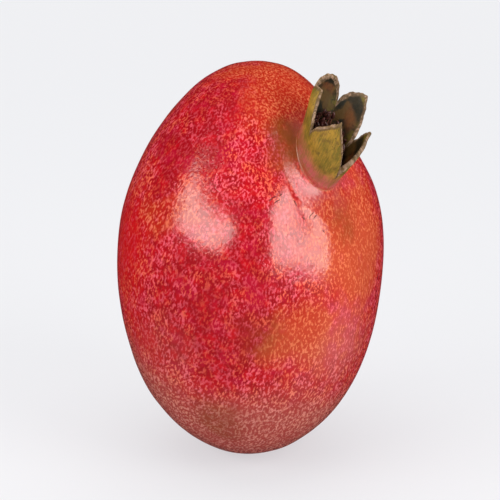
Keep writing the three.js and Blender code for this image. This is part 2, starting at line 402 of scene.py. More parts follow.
def rind_spot(zone, share, column):
    """One point of the round rind, with what its colours need to know."""
    angle = column["angle"]
    rim = column["rim"]
    along, inside, up_sepal = 0, 0, 0
    if zone == "body":
        radius, height = body_at(share, angle)
        along = -NECK_LENGTH - (1 - share) * (math.pi - NECK_ANGLE) * RADIUS
    elif zone == "neck":
        radius, height = neck_at(share)
        along = -NECK_LENGTH * (1 - share)
    elif zone == "wall":
        along = rim * share
        radius, height, up_sepal = outer_wall(along, column)
    elif zone == "edge":
        along = rim
        inside = share
        radius, height, up_sepal = rim_edge(share * math.pi, column)
    elif zone == "lining":
        along = rim * (1 - share)
        inside = 1
        radius, height, up_sepal = lining(along, column)
    else:
        inside = 1
        radius = (WAIST_RADIUS - WALL) * math.cos(share * math.pi / 2)
        height = WAIST_HEIGHT - CUP_DEPTH * math.sin(share * math.pi / 2)
    twist = math.radians(column["sepal"]["twist"]) * up_sepal**2
    point = around(radius, angle + twist, height)
    facts = {
        "along": along,
        "inside": inside,
        "to_rim": rim - along,
        "across": column["across"],
        "up_sepal": up_sepal,
    }
    return point, facts


def roughen(point, facts, form):
    """Adds the lumps of the skin, or the ribs and lumps of a sepal, to a point of the round rind."""
    along = facts["along"]
    collar = sum(line["height"] * bell(along - line["at"], line["reach"]) for line in COLLAR)
    outwards = Vector((point.x, point.y, 0)).normalized()
    if facts["inside"] < 0.5:
        point = point + outwards * collar
    if along > 0:
        ribs = math.cos(math.pi * SEPAL_RIBS * facts["across"]) * facts["up_sepal"]
        push = (lump(point, SEPAL_LUMPS) + RIB_SHARE * ribs) * form.sepal_wrinkles / MM
        face = LINING_SHARE if facts["inside"] > 0.5 else 1
        return point + outwards * (push * face * min(along / FULL_WRINKLES, 1))
    calm = min(-along / CALM_NEAR_WAIST, 1)
    return point + point.normalized() * (lump(point, SKIN_LUMPS) * calm * form.skin_lumps / MM)


def shell(start, rings, end):
    """Points and faces of a closed surface: a start point, rings of points and an end point."""
    count = len(rings[0])
    points = [start] + [point for ring in rings for point in ring] + [end]
    top = 1 + (len(rings) - 1) * count
    faces = []
    for k in range(count):
        after = (k + 1) % count
        faces.append((0, 1 + after, 1 + k))
        for low in range(1, top, count):
            faces.append((low + k, low + after, low + count + after, low + count + k))
        faces.append((top + k, top + after, len(points) - 1))
    return points, faces


def joined(shells):
    """Several closed surfaces as one list of points and one of faces."""
    points, faces = [], []
    for more_points, more_faces in shells:
        first = len(points)
        points += more_points
        faces += [tuple(first + index for index in face) for face in more_faces]
    return points, faces


def new_piece(name, points, faces, node, slot, materials):
    """A smooth mesh object from points of the scene, riding on the root body in place of a node."""
    mesh = bpy.data.meshes.new(name)
    mesh.from_pydata([point * MM for point in points], [], faces)
    work = bmesh.new()
    work.from_mesh(mesh)
    bmesh.ops.recalc_face_normals(work, faces=work.faces)
    work.to_mesh(mesh)
    work.free()
    mesh.shade_smooth()
    for material in materials:
        mesh.materials.append(material)
    piece = bpy.data.objects.new(name, mesh)
    bpy.context.collection.objects.link(piece)
    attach(piece, "root")
    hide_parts(node)
    return piece


def add_facts(mesh, facts):
    """Keeps named numbers for each point, which the materials read."""
    for name in facts[0]:
        attribute = mesh.attributes.new(name, "FLOAT", "POINT")
        attribute.data.foreach_set("value", [spot[name] for spot in facts])


def add_grown_place(mesh, points):
    """Keeps where each point is on the round fruit, whose radius is 1, for streaks along its length."""
    attribute = mesh.attributes.new("grown", "FLOAT_VECTOR", "POINT")
    attribute.data.foreach_set("vector", [value for point in points for value in point / RADIUS])


def make_rind(form, look):
    """The whole rind as one surface, from the stem end over the crown to the middle of the cup."""
    columns = [sepal_column(column, form) for column in range(COLUMNS)]
    stem_pole = Vector((0, 0, -RADIUS + hollow_at(0)))
    cup_pole = Vector((0, 0, WAIST_HEIGHT - CUP_DEPTH))
    grown, facts, rings = [stem_pole], [], []
    for zone, share in rind_rows():
        ring = []
        for column in columns:
            spot, spot_facts = rind_spot(zone, share, column)
            spot = roughen(spot, spot_facts, form)
            ring.append(spot)
            facts.append(spot_facts)
        rings.append(ring)
        grown += ring
    grown.append(cup_pole)
    facts = [facts[0]] + facts + [facts[-1]]
    placed = [[place(point) for point in ring] for ring in rings]
    points, faces = shell(place(stem_pole), placed, place(cup_pole))
    materials = [rind_material(look, "skin"), rind_material(look, "sepals")]
    rind = new_piece("rind_and_crown", points, faces, "fruit", "rind", materials)
    add_facts(rind.data, facts)
    add_grown_place(rind.data, grown)
    for polygon in rind.data.polygons:
        spot = facts[polygon.vertices[0]]
        polygon.material_index = int(spot["along"] > SEPALS_FROM or spot["inside"] > 0.5)
    return rind


def add_scars(rind, look):
    """Small dark ticks where the skin was scratched, each a thin thread half sunk in it."""
    marks = []
    for x, y, z, length, steepness in SCARS:
        found, middle, normal, face = rind.closest_point_on_mesh(Vector((x, y, z)) * MM)
        steepness = math.radians(steepness)
        along = Vector((math.cos(steepness), 0, math.sin(steepness)))
        along = (along - normal * normal.dot(along)).normalized()
        aside = normal.cross(along)
        path, radii = [], []
        for step in range(SCAR_STEPS + 1):
            share = 2 * step / SCAR_STEPS - 1
            bow = aside * (SCAR_BOW * length * (1 - share * share))
            wanted = middle + (along * (share * length / 2) + bow) * MM
            found, spot, normal_there, face = rind.closest_point_on_mesh(wanted)
            path.append(spot / MM)
            radii.append(SCAR_WIDTH / 2 * math.sqrt(max(1 - share * share, SCAR_ENDS)))
        marks.append(tube(path, radii, FILAMENT_SIDES))
    scar = dried_material("scar", look.scar, roughness=0.6, size=0.4)
    new_piece("skin_scars", *joined(marks), "fruit", "rind", [scar])


def tube(path, radii, sides):
    """A closed tube along a path of the scene, with a radius at each of its points."""
    rings = []
    side = None
    for k, point in enumerate(path):
        before = path[max(k - 1, 0)]
        after = path[min(k + 1, len(path) - 1)]
        along = (after - before).normalized()
        side = side or along.orthogonal()
        side = (side - along * side.dot(along)).normalized()
        up = along.cross(side)
        ways = [side * math.cos(angle) + up * math.sin(angle) for angle in full_turn(sides)]
        rings.append([point + way * radii[k] for way in ways])
    return shell(path[0], rings, path[-1])


def bean(middle, along, width, length, rng):
    """An anther: a bean with a groove down one side, a little bent."""
    along = along.normalized()
    side = Quaternion(along, rng.uniform(0, 2 * math.pi)) @ along.orthogonal().normalized()
    up = along.cross(side)
    bent = rng.uniform(*ANTHER_BEND) * length
    rings = []
    for row in range(1, ANTHER_RINGS):
        turn = math.pi * row / ANTHER_RINGS
        centre = middle - along * (length / 2 * math.cos(turn)) + side * (bent * math.sin(turn))
        ring = []
        for angle in full_turn(ANTHER_SIDES):
            groove = ANTHER_GROOVE["depth"] * bell(angle - math.pi, ANTHER_GROOVE["reach"])
            radius = width / 2 * math.sin(turn) * (1 - groove)
            ring.append(centre + (side * math.cos(angle) + up * math.sin(angle)) * radius)
        rings.append(ring)
    return shell(middle - along * length / 2, rings, middle + along * length / 2)


# Height of the cushion's underside on the round fruit
SEAT = WAIST_HEIGHT - CUP_DEPTH + CUSHION_GAP


def stamen_path(ring, turn, rng):
    """The wavy path of one filament in the round fruit, from the cushion to its anther."""
    root_height = SEAT + CUSHION_THICKNESS / 2
    height = ring["height"] * rng.uniform(1 - STAMEN_SPREAD, 1)
    swing = turn + rng.uniform(-STAMEN_SWING, STAMEN_SWING)
    out = ring["tip"] * rng.uniform(STAMEN_LEAST_OUT, 1)
    points = (
        around(ring["root"], turn, root_height),
        around(out, turn, root_height + height / 2),
        around(out, swing, root_height + height),
    )
    seed = Vector((turn * 3, ring["tip"], 0))
    path = []
    for step in range(FILAMENT_STEPS + 1):
        share = step / FILAMENT_STEPS
        back = 1 - share
        point = points[0] * back**2 + points[1] * (2 * back * share) + points[2] * share**2
        wave = noise.noise_vector(seed + Vector((0, 0, share * FILAMENT_WAVES)))
        path.append(point + wave * (FILAMENT_WAVE * share))
    return path


def make_stamens(form, look):
    """The dried filaments, their anthers, and the cushion and style that they stand round."""
    rng = random.Random(STAMEN_SEED)
    noise.seed_set(STAMEN_SEED)
    filaments, anthers = [], []
    radius = form.filament_width / MM / 2
    taper = [FILAMENT_TAPER * step / FILAMENT_STEPS for step in range(FILAMENT_STEPS + 1)]
    radii = [radius * (FILAMENT_ROOT - thinner) for thinner in taper]
    for ring in STAMEN_RINGS:
        count = round(form.stamen_count * ring["share"])
        start = rng.uniform(0, 1)
        for k in range(count):
            uneven = rng.uniform(-STAMEN_UNEVENNESS, STAMEN_UNEVENNESS)
            turn = 2 * math.pi * (k + start + uneven) / count
            path = [place(point) for point in stamen_path(ring, turn, rng)]
            filaments.append(tube(path, radii, FILAMENT_SIDES))
            tilt = noise.noise_vector(path[-1]) * ANTHER_TILT
            aim = (path[-1] - path[-2]).normalized() + tilt
            length = form.anther_length / MM * rng.uniform(*ANTHER_LENGTHS)
            anthers.append(bean(path[-1], aim, length * ANTHER_WIDTH, length, rng))
    filament = dried_material("dried_filament", look.filament, roughness=0.42, size=0.5)
    anther = dried_material("dried_anther", look.anther, roughness=0.35, size=0.4)
    cushion = dried_material("dried_cushion", look.cushion, roughness=0.6, size=0.8)
    middle = joined([cushion_shell(), style_shell()])
    new_piece("stamen_filaments", *joined(filaments), "stamens", "stamens", [filament])
    new_piece("stamen_anthers", *joined(anthers), "stamens", "stamens", [anther])
    new_piece("cushion_and_style", *middle, "stamens", "stamens", [cushion])


def cushion_shell():
    """The dry cushion at the bottom of the cup: a flattened ball with radial wrinkles."""
    middle = SEAT + CUSHION_THICKNESS / 2
    rings = []
    for row in range(1, CUSHION_ROWS):
        turn = math.pi * row / CUSHION_ROWS
        ring = []
        for angle in full_turn(CUSHION_SIDES):
            wave = noise.noise(around(CUSHION_WAVES, angle, turn))
            wrinkle = CUSHION_WRINKLES * wave * math.sin(turn)
            radius = CUSHION_RADIUS * math.sin(turn) + wrinkle
            height = middle - CUSHION_THICKNESS / 2 * math.cos(turn) + wrinkle
            ring.append(place(around(radius, angle, height)))
        rings.append(ring)
    return shell(place(Vector((0, 0, SEAT))), rings, place(Vector((0, 0, SEAT + CUSHION_THICKNESS))))


def style_shell():
    """The wavy style in the middle of the cushion, with a small knob at its tip."""
    foot = SEAT + CUSHION_THICKNESS - STYLE_SUNK
    top = SEAT + CUSHION_THICKNESS / 2 + STYLE_HEIGHT
    path, radii = [], []
    for step in range(FILAMENT_STEPS + 1):
        share = step / FILAMENT_STEPS
        wave = noise.noise_vector(Vector((*STYLE_SEED, share * STYLE_WAVES))) * (STYLE_WAVE * share)
        path.append(place(Vector((0, 0, mix(foot, top, share))) + wave))
        knob = STYLE_KNOB["height"] * bell(share - 1, STYLE_KNOB["reach"])
        radii.append(STYLE_RADIUS * (STYLE_ROOT - STYLE_TAPER * share + knob))
    return tube(path, radii, STYLE_SIDES)


def make_stem(form, look):
    """The woody end of the stem, pointing out of the hollow opposite the crown."""
    foot = hollow_at(STEM_FOOT_RADIUS) - RADIUS - GAP
    facts = [{"cut": 0, "from_axis": 0}]
    rings = []
    for radius, distance in (*STEM_PROFILE, *STEM_CUT_RINGS):
        facts += [{"cut": float((radius, distance) in STEM_CUT_RINGS), "from_axis": radius}] * STEM_SIDES
        ring = []
        for angle in full_turn(STEM_SIDES):
            waves = [
                share * noise.noise(around(reach, angle, distance * stretch))
                for reach, stretch, share in BARK_WAVES
            ]
            ridge = sum(waves) * form.bark_ridges / MM * min(radius / FULL_BARK, 1)
            ring.append(place(around(radius + ridge, angle, foot - distance)))
        rings.append(ring)
    middle = foot - STEM_CUT_RINGS[-1][1]
    points, faces = shell(place(Vector((0, 0, foot + 1))), rings, place(Vector((0, 0, middle))))
    stem = new_piece("stem_end", points, faces, "stem_stub", "stem", [stem_material(look)])
    add_facts(stem.data, facts + [{"cut": 1, "from_axis": 0}])


# Sockets of a Mix node that blends colours, and how much of a patch's reach has its full strength
MIX_FIRST, MIX_SECOND, MIX_RESULT = 6, 7, 2
PATCH_CORE = 0.25


class Finish:
    """A material under construction, with short calls for the nodes that it needs."""

    def __init__(self, name):
        self.material = bpy.data.materials.new(name)
        self.material.use_nodes = True
        self.tree = self.material.node_tree
        self.surface = self.tree.nodes["Principled BSDF"]
        self.where = self.node("ShaderNodeTexCoord", {}).outputs["Object"]

    def node(self, kind, inputs, **settings):
        """A node with its settings and inputs, each of them a value or another node's output."""
        added = self.tree.nodes.new(kind)
        for name, value in settings.items():
            setattr(added, name, value)
        self.feed(added, inputs)
        return added

    def feed(self, node, inputs):
        for socket, value in inputs.items():
            target = node.inputs[socket]
            if isinstance(value, bpy.types.NodeSocket):
                self.tree.links.new(value, target)
            elif target.type == "RGBA":
                target.default_value = (*value, 1)
            else:
                target.default_value = value

    def fact(self, name, output="Fac"):
        """What the mesh keeps under a name for each of its points."""
        return self.node("ShaderNodeAttribute", {}, attribute_name=name).outputs[output]

    def vector_calc(self, operation, *values, output="Vector"):
        inputs = dict(enumerate(values))
        return self.node("ShaderNodeVectorMath", inputs, operation=operation).outputs[output]

    def grown(self, scales):
        """The place on the round fruit, whose radius is 1, times a scale each way."""
        return self.vector_calc("MULTIPLY", self.fact("grown", "Vector"), scales)

    def noise(self, size, vector=None, detail=2.0, roughness=0.5):
        """Soft noise about 0.5, with features of a size in millimetres where vector is in metres."""
        inputs = {"Vector": vector or self.where, "Scale": 1 / (size * MM), "Detail": detail}
        return self.node("ShaderNodeTexNoise", {**inputs, "Roughness": roughness}).outputs["Fac"]

    def waver(self, size, amount, vector=None):
        """The place, pushed about by a noise, so that what is drawn there has uneven edges."""
        vector = vector or self.where
        inputs = {"Vector": vector, "Scale": 1 / (size * MM), "Detail": 1.0}
        cloud = self.node("ShaderNodeTexNoise", inputs).outputs["Color"]
        push = self.vector_calc("MULTIPLY_ADD", cloud, (amount * MM,) * 3, (-amount * MM / 2,) * 3)
        return self.vector_calc("ADD", push, vector)

    def cells(self, size):
        """Distance to the nearest of many scattered spots, which are about a size apart."""
        inputs = {"Vector": self.where, "Scale": 1 / (size * MM)}
        return self.node("ShaderNodeTexVoronoi", inputs).outputs["Distance"]

    def calc(self, operation, first, second=0.0):
        return self.node("ShaderNodeMath", {0: first, 1: second}, operation=operation).outputs[0]

    def plus(self, first, second):
        return self.calc("ADD", first, second)

    def minus(self, first, second):
        return self.calc("SUBTRACT", first, second)

    def times(self, first, second):
        return self.calc("MULTIPLY", first, second)

    def larger(self, first, second):
        return self.calc("MAXIMUM", first, second)

    def ramp(self, value, start, end, low=0.0, high=1.0):
        """Goes smoothly from low to high as the value goes from start to end."""
        inputs = {"Value": value, "From Min": start, "From Max": end, "To Min": low, "To Max": high}
        return self.node("ShaderNodeMapRange", inputs, interpolation_type="SMOOTHSTEP").outputs[0]

    def near(self, spot, reach, vector=None):
        """1 round a spot of the scene, given in millimetres, falling to 0 at a distance from it."""
        spot = [value * MM for value in spot]
        gap = self.vector_calc("DISTANCE", vector or self.where, spot, output="Value")
        return self.ramp(gap, reach * MM, PATCH_CORE * reach * MM)

    def blend(self, share, first, second):
        """The first colour where the share is 0 and the second one where it is 1."""
        inputs = {"Factor": share, MIX_FIRST: first, MIX_SECOND: second}
        return self.node("ShaderNodeMix", inputs, data_type="RGBA").outputs[MIX_RESULT]

    def layers(self, colour, *over):
        """A colour with others over it in turn, each given as a share and a colour."""
        for share, tone in over:
            colour = self.blend(share, colour, tone)
        return colour

    def bump(self, height, distance, under=None):
        inputs = {"Height": height, "Distance": distance * MM, "Strength": 1.0}
        if under:
            inputs["Normal"] = under
        return self.node("ShaderNodeBump", inputs).outputs["Normal"]


# The skin's net and its streaks are drawn on the round fruit and are longer along it than across.
# The size of the streaks is in thousandths of the fruit's radius.
NET_STRETCH = (1, 1, 0.68)
STREAK_STRETCH = (1, 1, 0.22)
STREAK_SIZE = 120

# Patches where the skin's colour drifts: a spot of the scene in millimetres, a reach, and a share
ORANGE_PATCHES = (
    ((8, -10, 110), 28, 0.55),
    ((-22, -26, 84), 18, 0.35),
    ((30, -26, 70), 28, 0.5),
    ((14, -42, 48), 17, 0.55),
    ((-10, 40, 85), 44, 0.5),
)
# Olive patches: the first two, beside the crown, are painted shade of the hollow there; the rest are olive
# streaks of the skin
OLIVE_AND_SHADE_PATCHES = (
    ((14, -24, 100), 10, 0.8),
    ((11, -30, 93), 7, 0.45),
    ((26, -30, 76), 9, 0.45),
    ((6, -45, 46), 12, 0.5),
    ((-8, -34, 19), 12, 0.5),
    ((-6, 44, 45), 20, 0.4),
)
DEEP_PATCHES = (
    ((-9, -15, 106), 18, 1.0),
    ((-18, -22, 93), 16, 1.0),
    ((0, -43, 76), 14, 0.8),
    ((-10, -44, 56), 30, 0.6),
    ((20, 36, 50), 34, 0.6),
)
# Plain patches: the first, on the left flank, is painted light, a brighter red with fewer threads where
# light falls back on the skin; the others are plain stretches of the skin
PLAIN_AND_LIT_PATCHES = (((-36, -12, 64), 24, 1.0), ((-30, -24, 42), 14, 0.6), ((-14, 42, 62), 20, 0.5))
PALE_PATCHES = (
    ((30, -27, 66), 26, 1.0),
    ((27, -32, 46), 24, 1.0),
    ((13, -42, 46), 13, 0.6),
    ((32, -20, 86), 12, 0.8),
    ((-24, 34, 66), 22, 0.6),
)
# Dull patches low on the fruit: partly the skin's own duller colour, partly a painted reflection of the
# floor
DULL_AND_REFLECTION_PATCHES = (((-24, -34, 38), 18, 0.25), ((27, -31, 36), 22, 0.4), ((10, 44, 40), 30, 0.3))

# The shaded side of the neck, where painted shade goes in olive brown; the heights where the skin
# starts to dull and is dullest, there partly a painted reflection of the floor; and the rough ring
# round the stem
SHADED_NECK = (15, -28, 99)
SHADED_REACH = 12
UNDERSIDE_HEIGHT = 46
UNDERSIDE_FULL = 14
STEM_SPOT = place(Vector((0, 0, hollow_at(0) - RADIUS)))
STEM_RING = 11

# Distances along the wall, and to the rim, over which a colour of the crown comes in
HALO = (-10, -1)
LINE_START = (-1.6, -0.9)
LINE_END = (0.1, -0.6)
ONTO_SEPAL = (0.6, 5.6)
LOW_WALL = (12.5, 5.0)
# Where painted shade darkens the deep inside of the cup
CUP_SHADE = (9, 2)
SPLIT = (4, 8)
DRIED_RIM = (1.8, 1.1)
PALE_RIM = (0.85, 0.4)
# The sepals' grain: streaks over half a sepal's width and over a millimetre of its length
GRAIN = (20.0, 0.3)

# Heights of the fine bumps
BUMPS = {
    "pores": 0.03, "threads": 0.012, "peel": 0.05, "waves": 0.1, "sepals": 0.07, "dried": 0.04, "bark": 0.12,
}
DRIED_SHADE = 0.35


def patches(m, spots, vector):
    """The strongest of several patches at each place."""
    total = None
    for spot, reach, share in spots:
        patch = m.times(m.near(spot, reach, vector), share)
        total = m.larger(total, patch) if total else patch
    return total


def skin_net(m, look):
    """1 on the skin's short winding pale threads and 0 in the deep red spots between them."""
    size = look.net_size / MM
    winding = m.waver(size, size * 0.5, m.grown([share * RADIUS * MM for share in NET_STRETCH]))
    return m.ramp(m.noise(size * 0.7, winding), 0.45, 0.64)


def skin_ground(m, look, flecks, deep, plain_and_lit, orange, dull):
    """The colour of the spots between the threads, crimson where nothing else comes in."""
    redder = m.ramp(m.minus(flecks, m.times(deep, 0.12)), 0.36, 0.62)
    return m.layers(
        look.crimson,
        (redder, look.red),
        (m.ramp(m.noise(5.5), 0.52, 0.68, 0, 0.8), look.magenta),
        (orange, look.orange_red),
        # Painted light on the left flank, and plain stretches of the skin
        (m.times(plain_and_lit, 0.7), look.bright_red_and_painted_light),
        # Low down, partly a painted reflection of the floor
        (dull, look.dull_red_and_floor_reflection),
    )


def skin_threads(m, look, orange, dull):
    """The colour of the pale threads."""
    warm = m.ramp(m.noise(4.5), 0.42, 0.62)
    # The threads turn dull pink low down, partly a painted reflection of the floor
    return m.layers(look.salmon, (warm, look.coral), (orange, look.orange), (dull, look.dull_pink_and_floor_reflection))


def net_strength(m, streaks, deep, plain_and_lit, pale):
    """How much of the threads shows, which changes slowly over the skin."""
    strength = m.plus(m.times(m.noise(8, detail=3, roughness=0.6), 1.5), m.times(streaks, 0.5))
    strength = m.minus(strength, m.times(deep, 0.5))
    # Fewer threads on the plain stretches and under the painted light
    strength = m.minus(strength, m.times(plain_and_lit, 0.4))
    strength = m.plus(strength, m.times(pale, 0.3))
    return m.ramp(strength, 0.45, 1.15, 0.3, 1.0)


def skin_colour(m, look):
    """Deep red spots in a net of pale threads, over slow drifts to orange, olive and dusty pink, with
    painted shade beside the crown, painted light on the left flank and, in the dusty pink low down, partly a
    painted reflection of the floor.
    """
    wavering = m.waver(14, 16)
    streaks = m.noise(STREAK_SIZE, m.grown(STREAK_STRETCH), detail=4, roughness=0.6)
    flecks = m.noise(3.2, detail=3, roughness=0.6)
    deep = patches(m, DEEP_PATCHES, wavering)
    plain_and_lit = patches(m, PLAIN_AND_LIT_PATCHES, wavering)
    pale = patches(m, PALE_PATCHES, wavering)
    drift = m.plus(m.times(streaks, 0.7), patches(m, ORANGE_PATCHES, wavering))
    drift = m.plus(drift, m.times(flecks, 0.6))
    orange = m.ramp(m.minus(drift, m.times(deep, 0.5)), 0.6, 1.15)
    # Duller and paler towards the floor: partly the skin's own colour, partly a painted reflection of the
    # floor
    height = m.node("ShaderNodeSeparateXYZ", {"Vector": m.waver(34, 60)}).outputs["Z"]
    underside_dull_and_reflection = m.ramp(height, UNDERSIDE_HEIGHT * MM, UNDERSIDE_FULL * MM, 0, 0.85)
    dull = m.larger(underside_dull_and_reflection, patches(m, DULL_AND_REFLECTION_PATCHES, wavering))
    net = m.times(skin_net(m, look), net_strength(m, streaks, deep, plain_and_lit, pale))
    # Olive streaks, and the painted shade beside the crown
    olive = patches(m, OLIVE_AND_SHADE_PATCHES, wavering)
    rough = m.near(STEM_SPOT, STEM_RING, m.waver(3, 3))
    return m.layers(
        skin_ground(m, look, flecks, deep, plain_and_lit, orange, dull),
        (m.larger(net, m.times(pale, 0.35)), skin_threads(m, look, orange, dull)),
        # Painted shade beside the crown, and olive streaks, in olive brown
        (m.times(olive, m.ramp(flecks, 0.3, 0.6, 0.35, 1.0)), look.olive_and_painted_shade),
        (m.times(rough, m.ramp(flecks, 0.3, 0.55, 0.3, 0.95)), look.stem_ring),
    )


def rind_colour(m, look):
    """The whole rind's colour, from the stem end over the halo at the waist to the sepals."""
    along = m.fact("along")
    mottle = m.noise(2.4, detail=3, roughness=0.6)
    halo = m.times(m.ramp(along, *HALO), m.ramp(m.noise(5, detail=3), 0.36, 0.6, 0.1, 0.75))
    # Painted shade: olive brown on the shaded side of the neck, beside the crown
    shade = m.near(SHADED_NECK, SHADED_REACH, m.waver(5, 4))
    line = m.times(m.ramp(along, *LINE_START), m.ramp(along, *LINE_END))
    return m.layers(
        skin_colour(m, look),
        (halo, look.halo_pink),
        (m.times(shade, m.ramp(mottle, 0.3, 0.6, 0.5, 0.95)), look.olive_and_painted_shade),
        (m.ramp(m.plus(along, m.times(mottle, 5.0)), *ONTO_SEPAL), sepal_colour(m, look)),
        (m.times(line, m.ramp(mottle, 0.4, 0.6, 0.1, 0.5)), look.collar_line),
    )


def sepal_outside(m, look, along, up_sepal, grain, mottle):
    """Olive and mustard streaks with brown specks, pinker near the waist."""
    tone = m.plus(m.times(grain, 0.5), m.times(m.noise(4), 0.5))
    base = m.blend(m.ramp(tone, 0.42, 0.6), look.sepal_base, look.halo_pink)
    specks = m.times(m.ramp(m.cells(0.85), 0.26, 0.16), m.ramp(up_sepal, 0.2, 0.8, 0.15, 0.8))
    return m.layers(
        look.sepal_olive,
        (m.ramp(tone, 0.38, 0.62), look.sepal_mustard),
        (m.ramp(mottle, 0.5, 0.72, 0, 0.5), look.sepal_brown),
        (m.ramp(m.plus(along, m.times(mottle, 7.0)), *LOW_WALL), base),
        (specks, look.sepal_brown),
    )


def sepal_inside(m, look, along, up_sepal, across, grain, mottle):
    """Dark mottled brown, rusty in the middle, olive at one side and at the tip, where it is partly painted
    light, with a band of painted shade under the tip and painted shade deep in the cup.
    """
    middle = m.ramp(m.calc("ABSOLUTE", m.plus(across, 0.1)), 0.7, 0.1, 0, 0.85)
    middle = m.times(middle, m.ramp(grain, 0.35, 0.6, 0.35, 1.0))
    height = m.times(m.ramp(up_sepal, 0.0, 0.25), m.ramp(up_sepal, 0.62, 0.38))
    # Painted shade: a dark band under the curled tip
    shade_under_tip = m.times(m.ramp(up_sepal, 0.4, 0.56), m.ramp(up_sepal, 0.92, 0.78, 0, 0.8))
    olive = m.times(m.ramp(across, -0.35, -0.85), m.ramp(mottle, 0.4, 0.6, 0.1, 0.8))
    # The tip's olive: partly the sepal's own colour, partly painted light where the tip is lit
    tip = m.ramp(m.plus(up_sepal, m.times(mottle, 0.15)), 0.84, 0.96, 0, 0.9)
    return m.layers(
        look.lining_brown,
        (m.ramp(m.noise(3.2, detail=3), 0.47, 0.6), look.lining_dark_and_shade),
        (m.times(middle, height), look.lining_orange),
        # Painted shade under the tip
        (shade_under_tip, look.lining_dark_and_shade),
        # Olive at one side, and at the tip partly painted light
        (m.larger(olive, tip), look.sepal_olive),
        # Painted shade deep in the cup
        (m.ramp(along, *CUP_SHADE), look.painted_cup_shade),
    )


def sepal_colour(m, look):
    """Olive and mustard outside, dark and mottled inside, and a thin dried rim."""
    along, up_sepal, across, side = [m.fact(name) for name in ("along", "up_sepal", "across", "inside")]
    streaked = {"X": m.times(across, GRAIN[0]), "Y": m.times(along, GRAIN[1])}
    streaked = m.node("ShaderNodeCombineXYZ", streaked).outputs["Vector"]
    grain = m.noise(1 / MM, streaked, detail=4, roughness=0.6)
    mottle = m.noise(1.7, detail=3, roughness=0.65)
    to_rim = m.plus(m.fact("to_rim"), m.times(m.noise(0.9), 0.7))
    to_band = m.minus(to_rim, m.times(side, m.ramp(m.noise(7), 0.4, 0.6, 0.2, 1.2)))
    split = m.ramp(along, *SPLIT)
    dried = m.times(m.ramp(to_rim, *DRIED_RIM), split)
    pale = m.times(m.ramp(to_band, *PALE_RIM), split)
    pale = m.times(pale, m.ramp(m.noise(1.1, detail=3), 0.4, 0.6, 0.15, 1.0))
    return m.layers(
        sepal_outside(m, look, along, up_sepal, grain, mottle),
        (m.ramp(side, 0.4, 0.9), sepal_inside(m, look, along, up_sepal, across, grain, mottle)),
        (m.times(dried, 0.75), look.tip_brown),
        (pale, m.blend(m.ramp(grain, 0.35, 0.6), look.tip_brown, look.rim_pale)),
    )


def rind_material(look, finish):
    """The rind's finish: glossy on the skin and dull on the sepals, with one run of colour over both."""
    m = Finish("pomegranate_" + finish)
    m.feed(m.surface, {"Base Color": rind_colour(m, look)})
    if finish == "skin":
        pores = m.bump(m.ramp(m.cells(1.5), 0.08, 0.2), BUMPS["pores"])
        threads = m.bump(skin_net(m, look), BUMPS["threads"], pores)
        peel = m.bump(m.noise(1.8), BUMPS["peel"], threads)
        waves = m.bump(m.noise(4.5), BUMPS["waves"], peel)
        patchy = m.ramp(m.noise(6, detail=3), 0.3, 0.7, 0.46, 0.56)
        m.feed(m.surface, {"Roughness": patchy, "Normal": waves, "Specular IOR Level": 0.0})
        m.feed(m.surface, {"Coat Weight": 1.0, "Coat Roughness": 0.19, "Coat IOR": 1.8})
        m.feed(m.surface, {"Coat Normal": waves})
    else:
        wrinkles = m.bump(m.noise(0.7, detail=3, roughness=0.6), BUMPS["sepals"])
        m.feed(m.surface, {"Roughness": 0.55, "Normal": wrinkles})
    return m.material


def dimmed(tone, share):
    return [value * share for value in tone]


def dried_material(name, tone, roughness, size):
    """A dried flower part: one brown tone, darker and lighter by turns, with a fine wrinkled bump."""
    m = Finish(name)
    cloud = m.noise(size * 2, detail=3, roughness=0.6)
    m.feed(m.surface, {"Base Color": m.blend(m.ramp(cloud, 0.3, 0.7), dimmed(tone, DRIED_SHADE), tone)})
    wrinkles = m.bump(m.noise(size), BUMPS["dried"])
    m.feed(m.surface, {"Roughness": roughness, "Normal": wrinkles})
    return m.material


def stem_material(look):
    """Brown bark with paler scales, and the paler wood of the cut end with its dark rings."""
    m = Finish("stem_bark")
    cloud = m.noise(0.9, detail=4, roughness=0.65)
    bark = m.blend(m.ramp(cloud, 0.35, 0.65), look.bark, look.bark_light)
    from_axis = m.plus(m.fact("from_axis"), m.times(cloud, 0.5))
    rings = m.ramp(m.calc("SINE", m.times(from_axis, 9.0)), -0.2, 0.8)
    wood = m.blend(rings, look.bark_light, look.cut_wood)
    colour = m.blend(m.fact("cut"), bark, wood)
    m.feed(m.surface, {"Base Color": colour, "Roughness": 0.8})
    m.feed(m.surface, {"Normal": m.bump(cloud, BUMPS["bark"])})
    return m.material


def floor_material(look):
    """A pale floor with a soft shadow, which fades into the room's own brightness far from the fruit."""
    m = Finish("floor")
    far = m.minus(1.0, m.near((0, 0, 0), FLOOR_FADE))
    lit = m.blend(far, dimmed(look.floor, FLOOR_SHADE), (0, 0, 0))
    glow = m.blend(far, dimmed(look.floor, FLOOR_GLOW), dimmed(ROOM_TONE, ROOM_TO_LOOK_AT))
    m.feed(m.surface, {"Base Color": lit, "Roughness": 0.7, "Specular IOR Level": 0.0})
    m.feed(m.surface, {"Emission Color": glow, "Emission Strength": 1.0})
    return m.material


def linear(red, green, blue):
    """A screen colour, 0 to 255, as the linear one that shaders use."""
    shares = (red / 255, green / 255, blue / 255)
    return [s / 12.92 if s <= 0.04045 else ((s + 0.055) / 1.055) ** 2.4 for s in shares]


def colour(name, description, red, green, blue):
    """A colour that a user can change, with its default given as a screen colour."""
    return FloatVectorProperty(
        name=name, description=description, subtype="COLOR", size=3, min=0, max=1,
        default=linear(red, green, blue),
    )


def length(name, description, default, highest):
    """A length that a user can change, given here in millimetres."""
    return FloatProperty(
        name=name, description=description, unit="LENGTH", precision=5, min=0, max=highest * MM,
        default=default * MM,
    )


